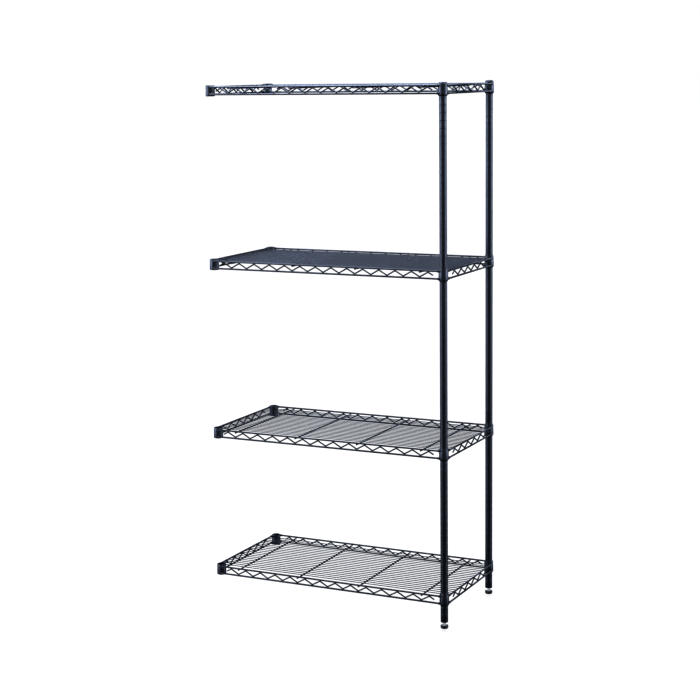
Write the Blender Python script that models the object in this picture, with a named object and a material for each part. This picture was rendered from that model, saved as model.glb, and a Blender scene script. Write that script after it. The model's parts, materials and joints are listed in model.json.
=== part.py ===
"""Add-on bay of wire shelving: four wire shelves on two grooved posts at the right-hand end.

The left-hand corner collars are open, for the posts of the bay that this one hangs on. Metres, +Z up. The
origin is on the floor under the middle of the shelves; X runs along the shelves and Y from front to back.
"""

import math

import bmesh
import bpy
from mathutils import Vector

CLEARANCE = 0.0003

# Shelves
LENGTH = 0.914
WIDTH = 0.457
SHELF_HEIGHTS = {1: 1.8172, 2: 1.2076, 3: 0.598, 4: 0.090}  # centres of the bottom wires, top shelf first
TRUSS_HEIGHT = 0.0254  # bottom wire to top wire, centres
RIM_SIDE = 0.0053  # square section with the area of a 6 mm wire
ZIGZAG_SIDE = 0.0035  # square section with the area of a 4 mm wire
ZIGZAG_PITCH = 0.060
ZIGZAG_PEAKS = {"long": 14, "side": 6}
ZIGZAG_TAIL = 0.018  # how far a free end runs past the last peak
ZIGZAG_DEPTH = 0.0012  # a bend's centre line to the face of the rim wire that it is welded to
RIB_REACH = 0.0031  # centre to corner of a square on edge, with the area of a 5 mm wire
RIB_PLACES = (-0.36, -0.12, 0.12, 0.36)
RIB_INSET = 0.001  # the ribs' tips, from the outer face of the rim
DECK_WIRES = 20
DECK_PITCH = 0.0202
DECK_WIRE_WIDTH = 0.0027
DECK_TOP = -0.0004  # from the centre of the top wire
DECK_BOTTOM = -0.0037

# Corner collars and the tapered split sleeves inside them, heights from the bottom wire's centre
COLLAR_INSET = 0.018  # the collar's axis, from the shelf's outer edges
COLLAR_RADIUS = 0.0168  # where it is widest, just above its bottom edge
COLLAR_TOP_RADIUS = 0.0158
COLLAR_BOTTOM = -0.0065
COLLAR_TOP = 0.0315
COLLAR_CHAMFER = 0.0020
BORE_BOTTOM_RADIUS = 0.0151
BORE_TOP_RADIUS = 0.0142
SLEEVE_BOTTOM = -0.0090
SLEEVE_LIP = 0.0006  # the sleeve's wall at its bottom end, which tapers in to the post
SLEEVE_TOP = 0.0355
SLEEVE_SLIT = math.radians(3)  # from the middle of the slit to each of its edges
GROOVE_HEIGHT = 0.0125
GROOVE_WIDTH = 0.0030
GROOVE_DEPTH = 0.0006
RIDGE_WIDTH = 0.0022

# Posts
POST_RADIUS = 0.0127
POST_WALL = 0.0012
POST_BOTTOM = 0.022
POST_LENGTH = 1.829
POST_CHAMFER = 0.0008
CAP_PLUG_LENGTH = 0.016
CAP_DOME = 0.0035
CAP_CROWN_RADIUS = 0.0085

# Levelling feet, heights from the floor
PAD_RADIUS = 0.0132
PAD_HEIGHT = 0.0108
PAD_CHAMFER = 0.0016
PAD_WELL_RADIUS = 0.0094
PAD_WELL_FLOOR = 0.0058
HEX_RADIUS = 0.0086  # to the corners
HEX_SHOULDER = 0.0143
HEX_TOP_RADIUS = 0.0064
HEX_TOP = 0.0158
STEM_RADIUS = 0.00465
STEM_TOP = 0.058
INSERT_BORE_RADIUS = 0.0050
INSERT_LENGTH = 0.024

ROUND_SIDES = 16

POST_X = LENGTH / 2 - COLLAR_INSET
POST_Y = WIDTH / 2 - COLLAR_INSET
ENDS = {"front": -1, "back": 1}
CORNERS = {"front_left": (-1, -1), "front_right": (1, -1), "back_left": (-1, 1), "back_right": (1, 1)}


def clear_scene():
    for found in list(bpy.data.objects):
        bpy.data.objects.remove(found, do_unlink=True)


def material(name, color, roughness, metallic):
    made = bpy.data.materials.new(name)
    made.use_nodes = True
    shader = made.node_tree.nodes["Principled BSDF"]
    shader.inputs["Base Color"].default_value = (*color, 1)
    shader.inputs["Roughness"].default_value = roughness
    shader.inputs["Metallic"].default_value = metallic
    made.diffuse_color = (*color, 1)
    return made


def mesh_from(bm, name, paint, smooth=False):
    """The bmesh as a mesh with one material, its normals facing out, shaded smooth on round pieces."""
    bmesh.ops.recalc_face_normals(bm, faces=bm.faces)
    mesh = bpy.data.meshes.new(name)
    bm.to_mesh(mesh)
    bm.free()
    mesh.materials.append(paint)
    if smooth:
        mesh.shade_smooth()
        mesh.set_sharp_from_angle(angle=math.radians(30))
    return mesh


def place(name, mesh, location=(0, 0, 0), turn=0.0, parent=None):
    made = bpy.data.objects.new(name, mesh)
    made.location = location
    made.rotation_euler.z = turn
    made.parent = parent
    bpy.context.scene.collection.objects.link(made)
    return made


def pivot(name, location, parent=None):
    made = place(name, None, location, parent=parent)
    made.empty_display_size = 0.03
    return made


def round_angles(sides=ROUND_SIDES):
    return [2 * math.pi * step / sides for step in range(sides)]


def split_angles():
    """The same corners as a full round, with the first one opened into a slit."""
    return [SLEEVE_SLIT, *round_angles()[1:], 2 * math.pi - SLEEVE_SLIT]


def turned(profile, angles=None, slit=False):
    """A closed profile of (radius, height) turned about Z through the angles. A slit leaves two end faces."""
    bm = bmesh.new()
    directions = [(math.cos(a), math.sin(a)) for a in angles or round_angles()]
    rows = []
    for radius, height in profile:
        if radius == 0:
            rows.append([bm.verts.new((0, 0, height))] * len(directions))
        else:
            rows.append([bm.verts.new((radius * x, radius * y, height)) for x, y in directions])
    steps = len(directions) - slit
    for row, following in zip(rows, rows[1:] + rows[:1]):
        for step in range(steps):
            after = (step + 1) % len(directions)
            corners = dict.fromkeys((row[step], row[after], following[after], following[step]))
            if len(corners) > 2:
                bm.faces.new(list(corners))
    if slit:
        bm.faces.new([row[0] for row in rows])
        bm.faces.new([row[-1] for row in rows])
    return bm


def add_prism(bm, section, start, end):
    """A bar from start to end. The section's corners are offsets across the bar."""
    near = [bm.verts.new(Vector(start) + Vector(corner)) for corner in section]
    far = [bm.verts.new(Vector(end) + Vector(corner)) for corner in section]
    bm.faces.new(near)
    bm.faces.new(far)
    for index in range(len(section)):
        after = (index + 1) % len(section)
        bm.faces.new((near[index], near[after], far[after], far[index]))


def square(side):
    """The corners of a square across X, lying flat."""
    half = side / 2
    return [(0, -half, -half), (0, half, -half), (0, half, half), (0, -half, half)]


def square_on_edge(reach):
    """The corners of a square across Y, with one corner up."""
    return [(0, 0, -reach), (reach, 0, 0), (0, 0, reach), (-reach, 0, 0)]


def add_zigzag(bm, points, side):
    """A square bar along points in the XZ plane, mitred at each bend."""
    half = side / 2
    path = [Vector((x, z)) for x, z in points]
    legs = [(after - before).normalized() for before, after in zip(path, path[1:])]
    rows = []
    for index, point in enumerate(path):
        before, after = legs[max(index - 1, 0)], legs[min(index, len(legs) - 1)]
        along = (before + after).normalized()
        reach = half / along.dot(before)
        out = Vector((-along.y, along.x)) * reach
        rows.append(
            [
                bm.verts.new((point.x + sign * out.x, y, point.y + sign * out.y))
                for sign, y in ((1, -half), (1, half), (-1, half), (-1, -half))
            ]
        )
    bm.faces.new(rows[0])
    bm.faces.new(rows[-1])
    for row, following in zip(rows, rows[1:]):
        for index in range(4):
            after = (index + 1) % 4
            bm.faces.new((row[index], row[after], following[after], following[index]))


def union(first, second, name):
    """One mesh made of two that overlap."""
    base = place(name + "_base", first)
    welded_on = place(name + "_welded_on", second)
    boolean = base.modifiers.new("weld", "BOOLEAN")
    boolean.operation = "UNION"
    boolean.object = welded_on
    graph = bpy.context.evaluated_depsgraph_get()
    joined = bpy.data.meshes.new_from_object(base.evaluated_get(graph))
    joined.name = name
    for helper in (base, welded_on):
        bpy.data.objects.remove(helper, do_unlink=True)
    return joined


def truss_mesh(name, kind, half_length, paint):
    """Top and bottom rim wires with the zigzag wire welded between them, along X, from the bottom wire up."""
    rims = bmesh.new()
    for height in (0, TRUSS_HEIGHT):
        add_prism(rims, square(RIM_SIDE), (-half_length, 0, height), (half_length, 0, height))
    low = RIM_SIDE / 2 + ZIGZAG_DEPTH
    high = TRUSS_HEIGHT - low
    peaks = ZIGZAG_PEAKS[kind]
    step = ZIGZAG_PITCH / 2
    first = -(peaks - 1) * step
    bends = [(first + index * step, low if index % 2 else high) for index in range(2 * peaks - 1)]
    tail_height = high - (high - low) * ZIGZAG_TAIL / step
    tails = [(side * (-first + ZIGZAG_TAIL), tail_height) for side in (-1, 1)]
    zigzag = bmesh.new()
    add_zigzag(zigzag, [tails[0], *bends, tails[1]], ZIGZAG_SIDE)
    return union(mesh_from(rims, name + "_rims", paint), mesh_from(zigzag, name + "_zigzag", paint), name)


def deck_mesh(name, paint):
    """The long deck wires and the ribs they are welded on, from the bottom wire's centre up."""
    half = DECK_WIRE_WIDTH / 2
    section = [(0, -half, DECK_TOP), (0, half, DECK_TOP), (0, 0, DECK_BOTTOM)]
    reach = LENGTH / 2 - RIM_SIDE - CLEARANCE
    wires = bmesh.new()
    for index in range(DECK_WIRES):
        y = (index - (DECK_WIRES - 1) / 2) * DECK_PITCH
        add_prism(wires, section, (-reach, y, TRUSS_HEIGHT), (reach, y, TRUSS_HEIGHT))
    ribs = bmesh.new()
    height = TRUSS_HEIGHT - RIM_SIDE / 2 - CLEARANCE - RIB_REACH
    tip = WIDTH / 2 - RIB_INSET
    for x in RIB_PLACES:
        add_prism(ribs, square_on_edge(RIB_REACH), (x, -tip, height), (x, tip, height))
    return union(mesh_from(wires, name + "_wires", paint), mesh_from(ribs, name + "_ribs", paint), name)


def bore_radius(height):
    """The collar's tapered bore, at a height above the bottom wire's centre."""
    share = (height - COLLAR_BOTTOM) / (COLLAR_TOP - COLLAR_BOTTOM)
    return BORE_BOTTOM_RADIUS + (BORE_TOP_RADIUS - BORE_BOTTOM_RADIUS) * share


def collar_mesh(paint):
    profile = [
        (bore_radius(COLLAR_BOTTOM), COLLAR_BOTTOM),
        (COLLAR_RADIUS - COLLAR_CHAMFER / 2, COLLAR_BOTTOM),
        (COLLAR_RADIUS, COLLAR_BOTTOM + COLLAR_CHAMFER),
        (COLLAR_TOP_RADIUS, COLLAR_TOP),
        (bore_radius(COLLAR_TOP), COLLAR_TOP),
    ]
    return mesh_from(turned(profile), "collar", paint, smooth=True)


def sleeve_mesh(paint):
    """A tapered sleeve, open along a slit, with an inner ridge that sits in the post's groove."""
    bore = POST_RADIUS + CLEARANCE
    ridge = bore - GROOVE_DEPTH
    profile = [
        (bore, SLEEVE_BOTTOM),
        (bore + SLEEVE_LIP, SLEEVE_BOTTOM),
        (bore_radius(COLLAR_BOTTOM) - CLEARANCE, COLLAR_BOTTOM),
        (bore_radius(SLEEVE_TOP) - CLEARANCE, SLEEVE_TOP),
        (bore, SLEEVE_TOP),
        (bore, GROOVE_HEIGHT + RIDGE_WIDTH / 2),
        (ridge, GROOVE_HEIGHT + RIDGE_WIDTH / 2),
        (ridge, GROOVE_HEIGHT - RIDGE_WIDTH / 2),
        (bore, GROOVE_HEIGHT - RIDGE_WIDTH / 2),
    ]
    return mesh_from(turned(profile, split_angles(), slit=True), "sleeve", paint, smooth=True)


def post_mesh(paint):
    """A tube with a groove for each shelf's sleeves, from its bottom end up."""
    inner = POST_RADIUS - POST_WALL
    outer = [(POST_RADIUS - POST_CHAMFER, 0), (POST_RADIUS, POST_CHAMFER)]
    for shelf in sorted(SHELF_HEIGHTS, reverse=True):
        middle = SHELF_HEIGHTS[shelf] + GROOVE_HEIGHT - POST_BOTTOM
        low, high = middle - GROOVE_WIDTH / 2, middle + GROOVE_WIDTH / 2
        bottom = POST_RADIUS - GROOVE_DEPTH
        outer += [(POST_RADIUS, low), (bottom, low), (bottom, high), (POST_RADIUS, high)]
    outer.append((POST_RADIUS, POST_LENGTH))
    return mesh_from(turned([(inner, 0), *outer, (inner, POST_LENGTH)]), "post", paint, smooth=True)


def cap_mesh(paint):
    """A domed lid on a plug, from the post's top end."""
    plug = POST_RADIUS - POST_WALL - CLEARANCE
    profile = [
        (0, -CAP_PLUG_LENGTH),
        (plug - CLEARANCE, -CAP_PLUG_LENGTH),
        (plug, CLEARANCE),
        (POST_RADIUS, CLEARANCE),
        (POST_RADIUS, CAP_DOME / 3),
        (CAP_CROWN_RADIUS, CAP_DOME),
        (0, CAP_DOME),
    ]
    return mesh_from(turned(profile), "post_cap", paint, smooth=True)


def insert_mesh(paint):
    """The threaded plug in the post's bottom end."""
    outer = POST_RADIUS - POST_WALL - CLEARANCE
    low, high = CLEARANCE, INSERT_LENGTH
    profile = [(INSERT_BORE_RADIUS, low), (outer, low), (outer, high), (INSERT_BORE_RADIUS, high)]
    return mesh_from(turned(profile), "foot_insert", paint, smooth=True)


def pad_mesh(paint):
    """The round base of a foot, with a well that holds the stem's hexagon."""
    profile = [
        (0, 0),
        (PAD_RADIUS - PAD_CHAMFER / 2, 0),
        (PAD_RADIUS, PAD_CHAMFER / 2),
        (PAD_RADIUS, PAD_HEIGHT - PAD_CHAMFER),
        (PAD_RADIUS - PAD_CHAMFER, PAD_HEIGHT),
        (PAD_WELL_RADIUS, PAD_HEIGHT),
        (PAD_WELL_RADIUS, PAD_WELL_FLOOR),
        (0, PAD_WELL_FLOOR),
    ]
    return mesh_from(turned(profile), "foot_pad", paint, smooth=True)


def stem_mesh(paint):
    """The threaded stem with the hexagon that stands in the pad's well."""
    low = PAD_WELL_FLOOR + CLEARANCE
    hexagon = [(0, low), (HEX_RADIUS, low), (HEX_RADIUS, HEX_SHOULDER), (HEX_TOP_RADIUS, HEX_TOP), (0, HEX_TOP)]
    root = (low + HEX_SHOULDER) / 2
    rod = [(0, root), (STEM_RADIUS, root), (STEM_RADIUS, STEM_TOP), (0, STEM_TOP)]
    return union(
        mesh_from(turned(hexagon, round_angles(6)), "foot_hexagon", paint),
        mesh_from(turned(rod), "foot_rod", paint, smooth=True),
        "foot_stem",
    )


def build_posts(coating, plastic, steel):
    meshes = {"post": post_mesh(coating), "cap": cap_mesh(plastic), "insert": insert_mesh(plastic)}
    pad, stem = pad_mesh(plastic), stem_mesh(steel)
    for end, side in ENDS.items():
        foot = pivot(f"{end}_post_axis", (POST_X, side * POST_Y, 0))
        place(f"{end}_post", meshes["post"], (0, 0, POST_BOTTOM), parent=foot)
        place(f"{end}_post_cap", meshes["cap"], (0, 0, POST_BOTTOM + POST_LENGTH), parent=foot)
        place(f"{end}_foot_insert", meshes["insert"], (0, 0, POST_BOTTOM), parent=foot)
        place(f"{end}_foot_pad", pad, parent=foot)
        place(f"{end}_foot_stem", stem, parent=foot)


def build_sleeves(plastic):
    mesh = sleeve_mesh(plastic)
    for shelf, height in SHELF_HEIGHTS.items():
        for end, side in ENDS.items():
            place(f"shelf_{shelf}_{end}_sleeve", mesh, (POST_X, side * POST_Y, height), turn=math.pi)


def build_shelves(coating):
    # Each rim wire stops short of the collars that it is welded to, where its inner face meets their walls.
    inset = math.sqrt(COLLAR_RADIUS**2 - (COLLAR_INSET - RIM_SIDE) ** 2) + CLEARANCE
    long_truss = truss_mesh("long_truss", "long", POST_X - inset, coating)
    side_truss = truss_mesh("side_truss", "side", POST_Y - inset, coating)
    deck = deck_mesh("deck", coating)
    collar = collar_mesh(coating)
    for shelf, height in SHELF_HEIGHTS.items():
        carrier = pivot(f"shelf_{shelf}_axis", (0, 0, height))
        place(f"shelf_{shelf}_deck", deck, parent=carrier)
        for end, side in ENDS.items():
            y = side * (WIDTH - RIM_SIDE) / 2
            place(f"shelf_{shelf}_{end}_truss", long_truss, (0, y, 0), parent=carrier)
        for end, side in {"left": -1, "right": 1}.items():
            x = side * (LENGTH - RIM_SIDE) / 2
            place(f"shelf_{shelf}_{end}_truss", side_truss, (x, 0, 0), turn=math.pi / 2, parent=carrier)
        for corner, (right, back) in CORNERS.items():
            place(f"shelf_{shelf}_{corner}_collar", collar, (right * POST_X, back * POST_Y, 0), parent=carrier)


def main():
    clear_scene()
    coating = material("black_powder_coat", (0.010, 0.013, 0.019), 0.32, 0.0)
    plastic = material("black_plastic", (0.012, 0.012, 0.013), 0.5, 0.0)
    steel = material("zinc_plated_steel", (0.62, 0.64, 0.66), 0.28, 1.0)
    build_posts(coating, plastic, steel)
    build_sleeves(plastic)
    build_shelves(coating)
    bpy.context.view_layer.update()


main()
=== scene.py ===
import json
import math

import bmesh
import bpy
from mathutils import Matrix, Vector


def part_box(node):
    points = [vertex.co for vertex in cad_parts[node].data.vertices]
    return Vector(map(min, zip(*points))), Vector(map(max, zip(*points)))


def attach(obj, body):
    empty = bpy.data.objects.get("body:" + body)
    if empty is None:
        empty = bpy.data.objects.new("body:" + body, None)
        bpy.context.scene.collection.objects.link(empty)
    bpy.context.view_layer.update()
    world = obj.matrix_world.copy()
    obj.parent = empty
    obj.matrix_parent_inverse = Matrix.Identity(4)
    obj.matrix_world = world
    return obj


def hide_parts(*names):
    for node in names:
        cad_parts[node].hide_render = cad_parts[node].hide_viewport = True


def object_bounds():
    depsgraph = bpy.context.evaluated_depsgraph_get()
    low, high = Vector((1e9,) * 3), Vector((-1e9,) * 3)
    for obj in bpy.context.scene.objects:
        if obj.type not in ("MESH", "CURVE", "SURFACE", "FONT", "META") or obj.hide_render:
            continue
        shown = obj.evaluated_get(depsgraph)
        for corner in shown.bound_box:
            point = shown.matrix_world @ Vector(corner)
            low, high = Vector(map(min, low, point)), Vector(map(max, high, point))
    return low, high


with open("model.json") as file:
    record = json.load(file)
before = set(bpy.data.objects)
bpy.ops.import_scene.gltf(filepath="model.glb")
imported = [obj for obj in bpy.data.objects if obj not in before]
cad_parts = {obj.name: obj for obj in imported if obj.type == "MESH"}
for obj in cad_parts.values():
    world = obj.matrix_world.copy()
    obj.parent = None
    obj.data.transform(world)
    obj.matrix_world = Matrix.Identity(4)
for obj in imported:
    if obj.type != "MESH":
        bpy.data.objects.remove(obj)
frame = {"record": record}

# The looks of an add-on bay of wire shelving. Metres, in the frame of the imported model: X runs along the
# shelves to the end with the posts, Y from front to back, and Z up from the floor. Every sub-part gets one
# detailed piece on its own body: round welded wires, turned collars, sleeves and posts, and threaded feet.

CAD_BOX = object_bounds()

# Wires
RIM_RADIUS = 0.0030
ZIGZAG_RADIUS = 0.0024
ZIGZAG_PITCH = 0.060
ZIGZAG_PEAKS = {"long": 14, "side": 6}
ZIGZAG_TAIL = 0.018  # how far a free end runs past the last peak
ZIGZAG_BEND = 0.0055
DECK_WIRES = 20
DECK_PITCH = 0.0202
DECK_WIRE_RADIUS = 0.0015
RIB_RADIUS = 0.0025
RIB_PLACES = (-0.36, -0.12, 0.12, 0.36)
RIB_INSET = 0.0010  # the ribs' tips, from the outer face of the rim
SINK = 0.0003  # how far wires that are welded together sink into each other
BEND_WELD = (0.0034, 0.0019, 0.0011)  # half sizes of the weld beads along, across and up
COLLAR_WELD = (0.0055, 0.0028, 0.0020)
CROSSING_WELD = (0.0034, 0.0030, 0.0024)
WIRE_END_WELD = (0.0022, 0.0030, 0.0020)
RIB_END_WELD = (0.0031, 0.0028, 0.0010)
RIM_SHORTFALL = {"long": 0.0040, "side": 0.0030}  # how far a rim wire stops short of its collar's axis

# Collars and sleeves
COLLAR_SLIM = 0.0010  # how much slimmer a collar is at its top
COLLAR_CHAMFER = 0.0022
COLLAR_WALL = 0.0016
EDGE_ROUNDING = 0.0006
SLEEVE_SLIT = math.radians(3)  # from the middle of the slit to each of its edges
FIT_GAP = 0.0003  # between pieces that fit one inside another

# Posts
GROOVE_PITCH = 0.0254
GROOVE_WIDTH = 0.0020
GROOVE_DEPTH = 0.00025
GROOVE_OVER_RIM = 0.0125  # from a shelf's bottom rim wires up to the groove that its sleeves snap into
POST_WALL = 0.0012
CAP_CROWN_RADIUS = 0.0085

# Feet
PAD_WELL_RADIUS = 0.0094
PAD_WELL_FLOOR = 0.0058
PAD_ROUNDING = 0.0016
HEX_FLAT_RADIUS = 0.0075
HEX_SHOULDER = 0.0141
HEX_TOP = 0.0158
HEX_CHAMFER = (0.0014, 0.0008)  # in from the corners, and down from the shoulder
THREAD_PITCH = 0.0254 / 16
THREAD_RADIUS = 0.00465
THREAD_DEPTH = 0.0009
INSERT_BORE_RADIUS = 0.0050

# The camera
CAMERA_PLACE = (2.5645, -5.3201, 1.9059)
CAMERA_YAW = 0.4607
CAMERA_PITCH = 0.1550
CAMERA_ROLL = 0.0133
CAMERA_LENS = 86.19
CAMERA_SHIFT = (0.0239, -0.0300)

# The studio. What the coat reflects is a ring of walls. Its brightness goes by how far a direction is turned
# towards the camera (0 straight away from it, 1 straight towards it) times how far it points up (0 straight
# down, 0.5 level, 1 straight up).
WALL_STOPS = (
    (0.0, 0.45),
    (0.07, 0.32),
    (0.14, 0.03),
    (0.31, 0.03),
    (0.38, 0.8),
    (0.45, 1.0),
    (0.66, 1.0),
    (0.86, 0.25),
    (1.0, 0.10),
)
HEIGHT_STOPS = (
    (0.28, 0.01),
    (0.38, 0.08),
    (0.435, 0.34),
    (0.50, 1.0),
    (0.57, 1.0),
    (0.61, 0.12),
    (0.70, 0.03),
    (1.0, 0.03),
)
WALL_STRENGTH = 15.0
WALL_LEAST = 0.01
WALL_COLOR = (0.66, 0.76, 1.0)
SOFT_LIGHT = 1.08
BACKDROP_LIGHT = 1.02
FLOOR_RADIUS = 60
FLOOR_GLOW = 0.76
FLOOR_DROP = 0.0098  # so that a foot that is screwed right out doesn't sink into the floor
VIEW_GAMMA = 0.65

SHELVES = (1, 2, 3, 4)  # top shelf first
ENDS = {"front": -1, "back": 1}
SIDES = {"left": -1, "right": 1}
CORNERS = {"front_left": (-1, -1), "front_right": (1, -1), "back_left": (-1, 1), "back_right": (1, 1)}

TRUSS_LOW, TRUSS_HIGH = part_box("shelf_1_front_truss")
RIM_SIDE = TRUSS_HIGH.y - TRUSS_LOW.y
RISE = TRUSS_HIGH.z - TRUSS_LOW.z - RIM_SIDE  # bottom rim wire to top rim wire, centres
OUTER_X, OUTER_Y = CAD_BOX[1].x, CAD_BOX[1].y
POST_LOW, POST_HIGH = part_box("back_post")
POST_X = (POST_LOW.x + POST_HIGH.x) / 2
POST_Y = (POST_LOW.y + POST_HIGH.y) / 2
POST_RADIUS = (POST_HIGH.x - POST_LOW.x) / 2
COLLAR_LOW, COLLAR_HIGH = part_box("shelf_1_back_right_collar")
COLLAR_RADIUS = (COLLAR_HIGH.x - COLLAR_LOW.x) / 2


def shelf_level(shelf):
    """The height of a shelf's bottom rim wires."""
    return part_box(f"shelf_{shelf}_front_truss")[0].z + RIM_SIDE / 2


# ------------------------------------------------------------ shapes


def finish_mesh(bm, name, crease=40):
    """The bmesh as a smooth mesh, in which edges over the crease angle, in degrees, stay sharp."""
    bmesh.ops.recalc_face_normals(bm, faces=bm.faces)
    mesh = bpy.data.meshes.new(name)
    bm.to_mesh(mesh)
    bm.free()
    mesh.shade_smooth()
    mesh.set_sharp_from_angle(angle=math.radians(crease))
    return mesh


def rounded(points, radius, steps=4, closed=False):
    """A path in a plane with each corner turned into an arc, of that radius where the corner's legs allow."""
    path = [Vector(point) for point in points]
    result = []
    for index, corner in enumerate(path):
        if not closed and index in (0, len(path) - 1):
            result.append(corner)
            continue
        before = path[index - 1] - corner
        after = path[(index + 1) % len(path)] - corner
        half = before.angle(after) / 2
        reach = min(radius / math.tan(half), 0.45 * before.length, 0.45 * after.length)
        bend = reach * math.tan(half)
        middle = corner + (before.normalized() + after.normalized()).normalized() * (bend / math.sin(half))
        first = corner + before.normalized() * reach - middle
        last = corner + after.normalized() * reach - middle
        turn = math.atan2(first.x * last.y - first.y * last.x, first.dot(last))
        result += [middle + Matrix.Rotation(turn * step / steps, 2) @ first for step in range(steps + 1)]
    return result


def add_rows(bm, rows, around, along=False):
    """Faces between rows of points. Around closes each row, along joins the last row to the first."""
    following_rows = rows[1:] + rows[:1] if along else rows[1:]
    for row, following in zip(rows, following_rows):
        for index in range(len(row) if around else len(row) - 1):
            after = (index + 1) % len(row)
            corners = dict.fromkeys((row[index], row[after], following[after], following[index]))
            if len(corners) > 2:
                bm.faces.new(list(corners))


def add_wire(bm, path, radius, across, sides=12):
    """A round wire along a path in the plane that across is the normal of. Its cut ends are rounded off."""
    points = [Vector(point) for point in path]
    across = Vector(across)
    legs = [(after - before).normalized() for before, after in zip(points, points[1:])]
    edge = radius * 0.35
    quarter = (0, math.pi / 4, math.pi / 2)
    end = [(edge * (1 - math.cos(a)), radius - edge * (1 - math.sin(a))) for a in quarter]
    rings = [(points[0] + legs[0] * inset, legs[0], size) for inset, size in end]
    for index in range(1, len(points) - 1):
        rings.append((points[index], (legs[index - 1] + legs[index]).normalized(), radius))
    rings += [(points[-1] - legs[-1] * inset, legs[-1], size) for inset, size in reversed(end)]
    angles = [2 * math.pi * side / sides for side in range(sides)]
    rows = []
    for centre, tangent, size in rings:
        up = tangent.cross(across)
        rows.append([bm.verts.new(centre + (across * math.cos(a) + up * math.sin(a)) * size) for a in angles])
    add_rows(bm, rows, around=True)
    bm.faces.new(rows[0])
    bm.faces.new(rows[-1])


def add_bead(bm, centre, size, detail=2):
    """A drop of weld metal, as a flattened ball of those half sizes."""
    place = Matrix.Translation(centre) @ Matrix.Diagonal((*size, 1))
    bmesh.ops.create_icosphere(bm, subdivisions=detail, radius=1, matrix=place)


def turned(profile, sides=48, slit=0.0):
    """A closed profile of (radius, height) turned about Z. A slit is left open to either side of +X."""
    if slit:
        angles = [slit + (2 * math.pi - 2 * slit) * step / sides for step in range(sides + 1)]
    else:
        angles = [2 * math.pi * step / sides for step in range(sides)]
    bm = bmesh.new()
    rows = []
    for radius, height in profile:
        if radius < 1e-6:
            rows.append([bm.verts.new((0, 0, height))] * len(angles))
        else:
            rows.append([bm.verts.new((radius * math.cos(a), radius * math.sin(a), height)) for a in angles])
    add_rows(bm, rows, around=not slit, along=True)
    if slit:
        bm.faces.new([row[0] for row in rows])
        bm.faces.new([row[-1] for row in rows])
    return bm


# ------------------------------------------------------------ shelves


def zigzag_path(kind):
    """The centre line of the bent wire between the rim wires, from one free end to the other."""
    peaks = ZIGZAG_PEAKS[kind]
    step = ZIGZAG_PITCH / 2
    apex = RIM_RADIUS + ZIGZAG_RADIUS - SINK
    slope = math.atan2(RISE - 2 * apex, step)
    overshoot = ZIGZAG_BEND * (1 / math.cos(slope) - 1)
    low, high = apex - overshoot, RISE - apex + overshoot
    first = -(peaks - 1) * step
    corners = [(first + index * step, low if index % 2 else high) for index in range(2 * peaks - 1)]
    tail = high - (high - low) * ZIGZAG_TAIL / step
    outline = [(first - ZIGZAG_TAIL, tail), *corners, (ZIGZAG_TAIL - first, tail)]
    return [(x, 0, z) for x, z in rounded(outline, ZIGZAG_BEND, steps=6)]


def truss_mesh(kind, collar_axis):
    """Both rim wires and the zigzag wire welded between them, along X, and the welds on the collars."""
    bm = bmesh.new()
    reach = collar_axis - RIM_SHORTFALL[kind]
    for height in (0, RISE):
        add_wire(bm, [(-reach, 0, height), (reach, 0, height)], RIM_RADIUS, (0, 1, 0), sides=16)
    add_wire(bm, zigzag_path(kind), ZIGZAG_RADIUS, (0, 1, 0))
    bends = 2 * ZIGZAG_PEAKS[kind] - 1
    for index in range(bends):
        x = (index - (bends - 1) / 2) * ZIGZAG_PITCH / 2
        height = RIM_RADIUS if index % 2 else RISE - RIM_RADIUS
        add_bead(bm, (x, 0, height), BEND_WELD)
    # A weld fills the corner above and below each rim wire where it runs into a collar.
    wire_offset = OUTER_Y - RIM_RADIUS - POST_Y
    along = math.sqrt(COLLAR_RADIUS**2 - (wire_offset - RIM_RADIUS) ** 2)
    for end in (-1, 1):
        for height in (0, RISE):
            for face in (-1, 1):
                middle = (end * (collar_axis - along), 0, height + face * RIM_RADIUS * 0.8)
                add_bead(bm, middle, COLLAR_WELD)
    return finish_mesh(bm, kind + "_truss_wires")


def deck_mesh():
    """The long deck wires on their ribs, with the welds where they cross and where they meet the rims."""
    rib_height = RISE - RIM_RADIUS - RIB_RADIUS + SINK
    wire_height = rib_height + RIB_RADIUS + DECK_WIRE_RADIUS - SINK
    reach = OUTER_X - 2 * RIM_RADIUS + SINK
    tip = OUTER_Y - RIB_INSET
    bm = bmesh.new()
    for index in range(DECK_WIRES):
        y = (index - (DECK_WIRES - 1) / 2) * DECK_PITCH
        ends = [(-reach, y, wire_height), (reach, y, wire_height)]
        add_wire(bm, ends, DECK_WIRE_RADIUS, (0, 1, 0), sides=10)
        for x in RIB_PLACES:
            add_bead(bm, (x, y, rib_height + RIB_RADIUS * 0.6), CROSSING_WELD)
        for side in (-1, 1):
            add_bead(bm, (side * reach, y, wire_height), WIRE_END_WELD)
    for x in RIB_PLACES:
        add_wire(bm, [(x, -tip, rib_height), (x, tip, rib_height)], RIB_RADIUS, (1, 0, 0), sides=14)
        for side in (-1, 1):
            add_bead(bm, (x, side * (OUTER_Y - RIM_RADIUS), rib_height + RIB_RADIUS), RIB_END_WELD)
    return finish_mesh(bm, "deck_grille")


def collar_heights():
    """A collar's bottom and top, from its shelf's bottom rim wires."""
    return COLLAR_LOW.z - shelf_level(1), COLLAR_HIGH.z - shelf_level(1)


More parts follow.
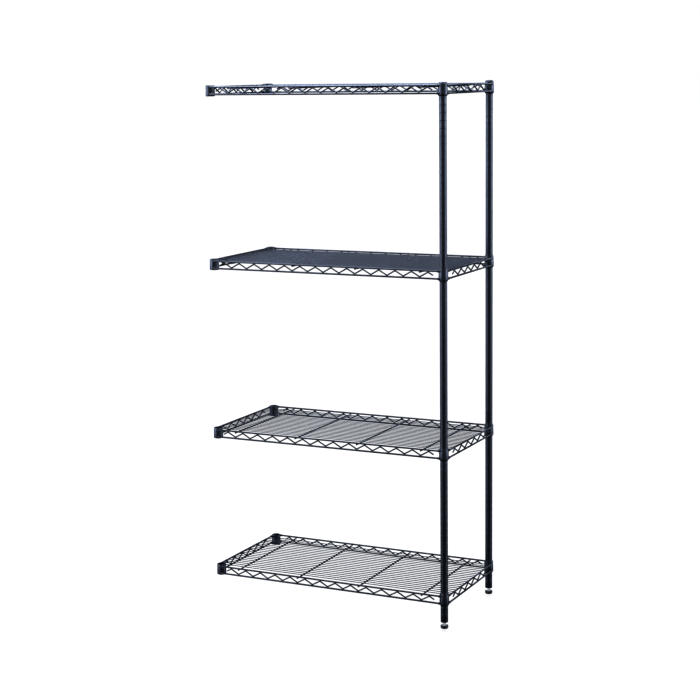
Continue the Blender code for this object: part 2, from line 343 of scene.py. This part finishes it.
def collar_mesh():
    """A collar: a short cone of thick tube, slimmer at its top, with a rounded lower edge."""
    bottom, top = collar_heights()
    top_radius = COLLAR_RADIUS - COLLAR_SLIM
    profile = [
        (COLLAR_RADIUS - COLLAR_WALL, bottom),
        (COLLAR_RADIUS - COLLAR_CHAMFER / 2, bottom),
        (COLLAR_RADIUS, bottom + COLLAR_CHAMFER),
        (top_radius, top),
        (top_radius - COLLAR_WALL, top),
    ]
    return finish_mesh(turned(rounded(profile, EDGE_ROUNDING, closed=True), sides=56), "collar_cone")


def sleeve_mesh():
    """A tapered split sleeve that shows as a lip under its collar and as a ring above it."""
    level = shelf_level(1)
    low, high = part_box("shelf_1_back_sleeve")
    bottom, top = low.z - level, high.z - level
    collar_bottom, collar_top = collar_heights()
    bore = POST_RADIUS + FIT_GAP
    profile = [
        (bore, bottom),
        (bore + 0.0008, bottom),
        (COLLAR_RADIUS - COLLAR_WALL - FIT_GAP, collar_bottom),
        (COLLAR_RADIUS - COLLAR_SLIM - COLLAR_WALL - FIT_GAP, collar_top),
        (COLLAR_RADIUS - COLLAR_SLIM - COLLAR_WALL - FIT_GAP, top),
        (bore, top),
    ]
    bm = turned(rounded(profile, EDGE_ROUNDING, closed=True), sides=56, slit=SLEEVE_SLIT)
    return finish_mesh(bm, "split_sleeve")


# ------------------------------------------------------------ posts and feet


def groove_heights():
    """The grooves along a post, one each inch, through the height where the sleeves hold the bottom shelf."""
    through = shelf_level(4) + GROOVE_OVER_RIM - POST_LOW.z
    first = through % GROOVE_PITCH
    count = int((POST_HIGH.z - POST_LOW.z - first) / GROOVE_PITCH)
    heights = [first + index * GROOVE_PITCH for index in range(count + 1)]
    return [height for height in heights if 0.01 < height < POST_HIGH.z - POST_LOW.z - 0.005]


def post_mesh():
    """A tube with rounded ends and a shallow groove each inch, from its bottom end up."""
    length = POST_HIGH.z - POST_LOW.z
    inner = POST_RADIUS - POST_WALL
    outside = rounded([(inner, 0), (POST_RADIUS, 0), (POST_RADIUS, 0.01)], 0.0010)[1:-1]
    for height in groove_heights():
        corners = [
            (POST_RADIUS, height - GROOVE_WIDTH),
            (POST_RADIUS, height - GROOVE_WIDTH / 2),
            (POST_RADIUS - GROOVE_DEPTH, height - GROOVE_WIDTH / 4),
            (POST_RADIUS - GROOVE_DEPTH, height + GROOVE_WIDTH / 4),
            (POST_RADIUS, height + GROOVE_WIDTH / 2),
            (POST_RADIUS, height + GROOVE_WIDTH),
        ]
        outside += [Vector(corner) for corner in corners]
    top = rounded([(POST_RADIUS, length - 0.01), (POST_RADIUS, length), (inner, length)], 0.0004)[1:-1]
    profile = [Vector((inner, 0)), *outside, *top, Vector((inner, length))]
    return finish_mesh(turned(profile, sides=40), "grooved_post")


def cap_mesh():
    """A domed lid on a plug, from the post's top end."""
    low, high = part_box("back_post_cap")
    plug = POST_RADIUS - POST_WALL - FIT_GAP
    depth, dome = low.z - POST_HIGH.z, high.z - POST_HIGH.z
    profile = [
        (0, depth),
        (plug - 0.0010, depth),
        (plug, depth + 0.0015),
        (plug, FIT_GAP),
        (POST_RADIUS, FIT_GAP),
        (POST_RADIUS, dome * 0.35),
        (CAP_CROWN_RADIUS, dome * 0.92),
        (0, dome),
    ]
    return finish_mesh(turned(rounded(profile, 0.0012)), "post_cap_lid")


def insert_mesh():
    """The threaded plug in the post's bottom end, with a chamfer round its bore."""
    low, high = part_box("back_foot_insert")
    bottom, top = low.z - POST_LOW.z, high.z - POST_LOW.z
    outer = (high.x - low.x) / 2
    profile = [
        (INSERT_BORE_RADIUS, bottom + 0.0012),
        (INSERT_BORE_RADIUS + 0.0009, bottom),
        (outer, bottom),
        (outer, top),
        (INSERT_BORE_RADIUS, top),
    ]
    return finish_mesh(turned(rounded(profile, 0.0004, closed=True)), "threaded_insert")


def pad_mesh():
    """The round base of a foot, with a well round the stem's hexagon and a step above its sole."""
    low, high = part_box("back_foot_pad")
    radius, height = (high.x - low.x) / 2, high.z - low.z
    profile = [
        (0, 0),
        (radius - 0.0012, 0),
        (radius - 0.0006, 0.0022),
        (radius, 0.0030),
        (radius, height),
        (PAD_WELL_RADIUS, height),
        (PAD_WELL_RADIUS, PAD_WELL_FLOOR),
        (0, PAD_WELL_FLOOR),
    ]
    corner = profile.index((radius, height))
    lower = rounded(profile[: corner + 1], 0.0005)[:-1]
    shoulder = rounded(profile[corner - 1 : corner + 2], PAD_ROUNDING, steps=6)[1:-1]
    upper = rounded(profile[corner:], 0.0005)[1:]
    return finish_mesh(turned([*lower, *shoulder, *upper]), "foot_base")


def hexagon_rows(bm, floor):
    """The rings of the stem's hexagon, its corners cut by a cone at the top as on a turned nut."""
    sides = 72
    corner_radius = HEX_FLAT_RADIUS / math.cos(math.pi / 6)
    inward, down = HEX_CHAMFER
    levels = [(floor, corner_radius), (HEX_SHOULDER - down, corner_radius)]
    for step in range(1, 5):
        share = step / 4
        levels.append((HEX_SHOULDER - down + down * share, corner_radius - inward * share))
    levels += [(HEX_TOP - 0.0003, THREAD_RADIUS + 0.0012), (HEX_TOP, THREAD_RADIUS + 0.0008)]
    rows = []
    for height, limit in levels:
        row = []
        for side in range(sides):
            angle = 2 * math.pi * side / sides
            off_flat = (angle + math.pi / 6) % (math.pi / 3) - math.pi / 6
            radius = min(HEX_FLAT_RADIUS / math.cos(off_flat), limit)
            row.append(bm.verts.new((radius * math.cos(angle), radius * math.sin(angle), height)))
        rows.append(row)
    return rows


def stem_mesh():
    """The foot's screw: a hexagon in the pad's well, and a threaded rod with a chamfered end above it."""
    low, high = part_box("back_foot_stem")
    bm = bmesh.new()
    rows = hexagon_rows(bm, low.z)
    sides = len(rows[0])
    add_rows(bm, rows, around=True)
    bm.faces.new(rows[0])
    steps = 6
    count = int((high.z - HEX_TOP) / THREAD_PITCH * steps)
    threads = []
    for level in range(count + 1):
        height = HEX_TOP - 0.0004 + (high.z - HEX_TOP + 0.0004) * level / count
        ring = []
        for side in range(sides // 2):
            angle = 4 * math.pi * side / sides
            turn = (height / THREAD_PITCH - angle / (2 * math.pi)) % 1
            cut = THREAD_DEPTH * min(1, max(0, 1.25 - 2.5 * abs(turn - 0.5)))
            chamfer = max(0, height - high.z + THREAD_DEPTH)
            radius = THREAD_RADIUS - max(cut, chamfer)
            ring.append(bm.verts.new((radius * math.cos(angle), radius * math.sin(angle), height)))
        threads.append(ring)
    add_rows(bm, threads, around=True)
    bm.faces.new(threads[-1])
    bm.faces.new(threads[0])
    bm.faces.new(rows[-1])
    return finish_mesh(bm, "foot_screw", crease=30)


# ------------------------------------------------------------ materials


class Nodes:
    """A small helper that adds nodes to a material and links them. Its base colour and roughness stand in
    where the nodes aren't worked out."""

    def __init__(self, name, base, roughness, metallic=0.0):
        self.material = bpy.data.materials.new(name)
        self.material.use_nodes = True
        self.tree = self.material.node_tree
        self.shader = self.tree.nodes["Principled BSDF"]
        self.shader.inputs["Base Color"].default_value = (*base, 1)
        self.shader.inputs["Roughness"].default_value = roughness
        self.shader.inputs["Metallic"].default_value = metallic
        self.place = self.tree.nodes.new("ShaderNodeTexCoord").outputs["Object"]

    def link(self, source, target):
        self.tree.links.new(source, target)

    def noise(self, scale, detail=2.0, stretch=None):
        """Noise in the piece's own metres, from 0 to 1. Scale is in features per metre."""
        node = self.tree.nodes.new("ShaderNodeTexNoise")
        node.inputs["Scale"].default_value = scale
        node.inputs["Detail"].default_value = detail
        place = self.place
        if stretch:
            mapping = self.tree.nodes.new("ShaderNodeMapping")
            mapping.inputs["Scale"].default_value = stretch
            self.link(place, mapping.inputs["Vector"])
            place = mapping.outputs["Vector"]
        self.link(place, node.inputs["Vector"])
        return node.outputs["Fac"]

    def spread(self, value, low, high, to_low=0.0, to_high=1.0):
        """The value's stretch from low to high, mapped onto another one."""
        node = self.tree.nodes.new("ShaderNodeMapRange")
        node.inputs["From Min"].default_value = low
        node.inputs["From Max"].default_value = high
        node.inputs["To Min"].default_value = to_low
        node.inputs["To Max"].default_value = to_high
        self.link(value, node.inputs["Value"])
        return node.outputs["Result"]

    def blend(self, share, first, second):
        """A colour between two, each one a colour or a socket."""
        node = self.tree.nodes.new("ShaderNodeMix")
        node.data_type = "RGBA"
        self.link(share, node.inputs["Factor"])
        for name, value in (("A", first), ("B", second)):
            socket = next(found for found in node.inputs if found.name == name and found.type == "RGBA")
            if isinstance(value, tuple):
                socket.default_value = (*value, 1)
            else:
                self.link(value, socket)
        return next(found for found in node.outputs if found.type == "RGBA")

    def bump(self, height, distance, strength, below=None):
        node = self.tree.nodes.new("ShaderNodeBump")
        node.inputs["Distance"].default_value = distance
        node.inputs["Strength"].default_value = strength
        self.link(height, node.inputs["Height"])
        if below:
            self.link(below, node.inputs["Normal"])
        return node.outputs["Normal"]

    def finish(self, color, roughness, normal):
        self.link(color, self.shader.inputs["Base Color"])
        self.link(roughness, self.shader.inputs["Roughness"])
        self.link(normal, self.shader.inputs["Normal"])
        return self.material


def powder_coat():
    """Semi-gloss black powder coat with a blue cast: orange peel, uneven gloss and a little scuffing."""
    nodes = Nodes("black_powder_coat", (0.006, 0.009, 0.015), 0.32)
    cloud = nodes.noise(22, detail=4)
    peel = nodes.noise(950, detail=2)
    grit = nodes.noise(3600, detail=1)
    scuff = nodes.spread(nodes.noise(160, detail=6, stretch=(0.25, 0.25, 1)), 0.62, 0.74)
    color = nodes.blend(nodes.spread(cloud, 0.3, 0.7), (0.0016, 0.0028, 0.0048), (0.0029, 0.0046, 0.0075))
    color = nodes.blend(nodes.spread(scuff, 0, 1, 0, 0.25), color, (0.020, 0.023, 0.029))
    roughness = nodes.spread(cloud, 0.25, 0.75, 0.26, 0.38)
    normal = nodes.bump(grit, 0.00004, 0.25, below=nodes.bump(peel, 0.00012, 0.30))
    return nodes.finish(color, roughness, normal)


def moulded_plastic():
    """Black moulded plastic with a fine spark-eroded grain and a slightly uneven sheen."""
    nodes = Nodes("black_plastic", (0.010, 0.011, 0.013), 0.48)
    cloud = nodes.noise(60, detail=3)
    grain = nodes.noise(2600, detail=3)
    color = nodes.blend(nodes.spread(cloud, 0.3, 0.7), (0.0034, 0.0042, 0.0052), (0.0062, 0.0074, 0.0088))
    roughness = nodes.spread(cloud, 0.25, 0.75, 0.40, 0.56)
    return nodes.finish(color, roughness, nodes.bump(grain, 0.00006, 0.35))


def zinc_plate():
    """Zinc plate, painted near white and kept mostly matt: a painted reflection of a white floor over the
    metal's own pale grey. Faint drawing lines along the rod, and a slightly clouded, bluish gloss.
    """
    # Low metallic with near-white base colours: painted reflection of a white floor, over zinc's own pale
    # grey.
    nodes = Nodes("zinc_plated_steel", (0.66, 0.69, 0.73), 0.24, metallic=0.3)
    cloud = nodes.noise(420, detail=3)
    lines = nodes.noise(2400, detail=2, stretch=(1, 1, 0.08))
    # These near-white colours show mostly as matt colour: painted reflection over the metal's own pale grey.
    color = nodes.blend(nodes.spread(cloud, 0.3, 0.7), (0.72, 0.77, 0.82), (0.92, 0.95, 0.97))
    roughness = nodes.spread(cloud, 0.25, 0.75, 0.18, 0.34)
    return nodes.finish(color, roughness, nodes.bump(lines, 0.00003, 0.30))


def studio_floor():
    """A matt sweep that glows as white as the backdrop, with the faintest unevenness."""
    nodes = Nodes("studio_floor", (0.25, 0.25, 0.25), 0.9)
    nodes.shader.inputs["Emission Color"].default_value = (1, 1, 1, 1)
    nodes.shader.inputs["Emission Strength"].default_value = FLOOR_GLOW
    nodes.material.cycles.emission_sampling = "NONE"
    cloud = nodes.noise(1.5, detail=3)
    color = nodes.blend(cloud, (0.24, 0.24, 0.24), (0.26, 0.26, 0.26))
    roughness = nodes.spread(cloud, 0.25, 0.75, 0.85, 0.95)
    return nodes.finish(color, roughness, nodes.bump(nodes.noise(300, detail=2), 0.0002, 0.1))


# ------------------------------------------------------------ pieces


def place(node, mesh, material, slot, location=(0, 0, 0), turn=0.0):
    """One piece that stands for a CAD node, on that node's body."""
    piece = bpy.data.objects.new(node + "_finished", mesh)
    if not mesh.materials:
        mesh.materials.append(material)
    piece.location = location
    piece.rotation_euler.z = turn
    bpy.context.scene.collection.objects.link(piece)
    bpy.context.view_layer.update()
    body = next(name for name, nodes in frame["record"]["behaviour"]["bodies"].items() if node in nodes)
    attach(piece, body)
    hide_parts(node)


def build_shelves(coat):
    """Four alike shelves, each of a deck, four trusses and four collars."""
    trusses = {"long": truss_mesh("long", POST_X), "side": truss_mesh("side", POST_Y)}
    deck, collar = deck_mesh(), collar_mesh()
    slot = "black_powder_coat"
    for shelf in SHELVES:
        name, level = f"shelf_{shelf}_", shelf_level(shelf)
        place(name + "deck", deck, coat, slot, (0, 0, level))
        for end, side in ENDS.items():
            where = (0, side * (OUTER_Y - RIM_RADIUS), level)
            place(f"{name}{end}_truss", trusses["long"], coat, slot, where)
        for end, side in SIDES.items():
            where = (side * (OUTER_X - RIM_RADIUS), 0, level)
            place(f"{name}{end}_truss", trusses["side"], coat, slot, where, turn=math.pi / 2)
        for corner, (right, back) in CORNERS.items():
            place(f"{name}{corner}_collar", collar, coat, slot, (right * POST_X, back * POST_Y, level))


def build_posts(coat, plastic, zinc):
    """Both posts with their caps and feet, and a sleeve on each post for each shelf."""
    post, cap, insert = post_mesh(), cap_mesh(), insert_mesh()
    pad, stem, sleeve = pad_mesh(), stem_mesh(), sleeve_mesh()
    for end, side in ENDS.items():
        x, y = POST_X, side * POST_Y
        place(f"{end}_post", post, coat, "black_powder_coat", (x, y, POST_LOW.z))
        place(f"{end}_post_cap", cap, plastic, "black_plastic", (x, y, POST_HIGH.z))
        place(f"{end}_foot_insert", insert, plastic, "black_plastic", (x, y, POST_LOW.z))
        place(f"{end}_foot_pad", pad, plastic, "black_plastic", (x, y, 0))
        place(f"{end}_foot_stem", stem, zinc, "zinc_plated_steel", (x, y, 0))
        for shelf in SHELVES:
            where = (x, y, shelf_level(shelf))
            place(f"shelf_{shelf}_{end}_sleeve", sleeve, plastic, "black_plastic", where, turn=math.pi)


# ------------------------------------------------------------ studio


def build_camera():
    """A long lens a little above the top shelf, in front of the rack and to its right."""
    data = bpy.data.cameras.new("camera")
    data.lens = CAMERA_LENS
    data.shift_x, data.shift_y = CAMERA_SHIFT
    camera = bpy.data.objects.new("camera", data)
    camera.matrix_world = (
        Matrix.Translation(CAMERA_PLACE)
        @ Matrix.Rotation(CAMERA_YAW, 4, "Z")
        @ Matrix.Rotation(math.pi / 2 - CAMERA_PITCH, 4, "X")
        @ Matrix.Rotation(-CAMERA_ROLL, 4, "Z")
    )
    bpy.context.scene.collection.objects.link(camera)
    bpy.context.scene.camera = camera


def build_floor():
    """A wide round floor that doesn't shine in the coat."""
    bm = bmesh.new()
    bmesh.ops.create_circle(bm, cap_ends=True, segments=96, radius=FLOOR_RADIUS)
    mesh = finish_mesh(bm, "studio_floor")
    mesh.materials.append(studio_floor())
    floor = bpy.data.objects.new("studio_floor", mesh)
    floor.location.z = -FLOOR_DROP
    floor.visible_glossy = False
    bpy.context.scene.collection.objects.link(floor)


def add_softbox(name, place, aim, size, power, color, shine_only=False):
    """A rectangular light that the camera doesn't see. One for shine only makes nothing but reflections."""
    data = bpy.data.lights.new(name, "AREA")
    data.shape = "RECTANGLE"
    data.size, data.size_y = size
    data.energy = power
    data.color = color
    light = bpy.data.objects.new(name, data)
    light.location = place
    light.visible_camera = False
    light.visible_diffuse = not shine_only
    light.rotation_euler = (Vector(aim) - Vector(place)).to_track_quat("-Z", "Y").to_euler()
    bpy.context.scene.collection.objects.link(light)


def ramp(tree, value, stops):
    """A grey level along a value, through stops of (value, level)."""
    node = tree.nodes.new("ShaderNodeValToRGB")
    node.color_ramp.interpolation = "EASE"
    elements = node.color_ramp.elements
    while len(elements) < len(stops):
        elements.new(0.5)
    for element, (position, level) in zip(elements, stops):
        element.position = position
        element.color = (level, level, level, 1)
    tree.links.new(value, node.inputs["Fac"])
    return node.outputs["Color"]


def build_world():
    """White all round for the camera and for soft light. What shines in the coat is pale walls on either side
    of the rack, at eye level. They are dim behind it and in front, and dark above and below."""
    world = bpy.data.worlds.new("studio")
    bpy.context.scene.world = world
    world.use_nodes = True
    tree = world.node_tree
    tree.nodes.clear()
    link = tree.links.new

    def node(kind):
        return tree.nodes.new(kind)

    direction = node("ShaderNodeTexCoord").outputs["Generated"]
    toward = node("ShaderNodeVectorMath")
    toward.operation = "DOT_PRODUCT"
    toward.inputs[1].default_value = (math.sin(CAMERA_YAW), -math.cos(CAMERA_YAW), 0)
    link(direction, toward.inputs[0])
    split = node("ShaderNodeSeparateXYZ")
    link(direction, split.inputs["Vector"])

    def unit(value):
        scaled = node("ShaderNodeMath")
        scaled.operation = "MULTIPLY_ADD"
        scaled.inputs[1].default_value = 0.5
        scaled.inputs[2].default_value = 0.5
        link(value, scaled.inputs[0])
        return scaled.outputs["Value"]

    around = ramp(tree, unit(toward.outputs["Value"]), WALL_STOPS)
    upward = ramp(tree, unit(split.outputs["Z"]), HEIGHT_STOPS)
    level = node("ShaderNodeMath")
    level.operation = "MULTIPLY"
    link(around, level.inputs[0])
    link(upward, level.inputs[1])
    strength = node("ShaderNodeMath")
    strength.operation = "MULTIPLY_ADD"
    strength.inputs[1].default_value = WALL_STRENGTH
    strength.inputs[2].default_value = WALL_LEAST
    link(level.outputs["Value"], strength.inputs[0])

    shine = node("ShaderNodeBackground")
    shine.inputs["Color"].default_value = (*WALL_COLOR, 1)
    link(strength.outputs["Value"], shine.inputs["Strength"])
    soft = node("ShaderNodeBackground")
    soft.inputs["Color"].default_value = (1, 1, 1, 1)
    soft.inputs["Strength"].default_value = SOFT_LIGHT
    seen = node("ShaderNodeBackground")
    seen.inputs["Color"].default_value = (1, 1, 1, 1)
    seen.inputs["Strength"].default_value = BACKDROP_LIGHT
    rays = node("ShaderNodeLightPath")
    mixed = node("ShaderNodeMixShader")
    link(rays.outputs["Is Glossy Ray"], mixed.inputs["Fac"])
    link(soft.outputs["Background"], mixed.inputs[1])
    link(shine.outputs["Background"], mixed.inputs[2])
    final = node("ShaderNodeMixShader")
    link(rays.outputs["Is Camera Ray"], final.inputs["Fac"])
    link(mixed.outputs["Shader"], final.inputs[1])
    link(seen.outputs["Background"], final.inputs[2])
    link(final.outputs["Shader"], node("ShaderNodeOutputWorld").inputs["Surface"])


def main():
    coat, plastic, zinc = powder_coat(), moulded_plastic(), zinc_plate()
    build_shelves(coat)
    build_posts(coat, plastic, zinc)
    build_camera()
    build_floor()
    build_world()
    add_softbox("overhead_softbox", (-0.6, -0.8, 3.6), (0, 0, 0.9), (2.2, 2.2), 30, (0.85, 0.92, 1.0))
    over, under = (-0.35, -0.1, 2.45), (-0.35, -0.1, 0)
    add_softbox("crown_softbox", over, under, (2.6, 1.4), 165, WALL_COLOR, shine_only=True)
    bpy.context.scene.view_settings.view_transform = "Standard"
    bpy.context.scene.view_settings.gamma = VIEW_GAMMA


main()
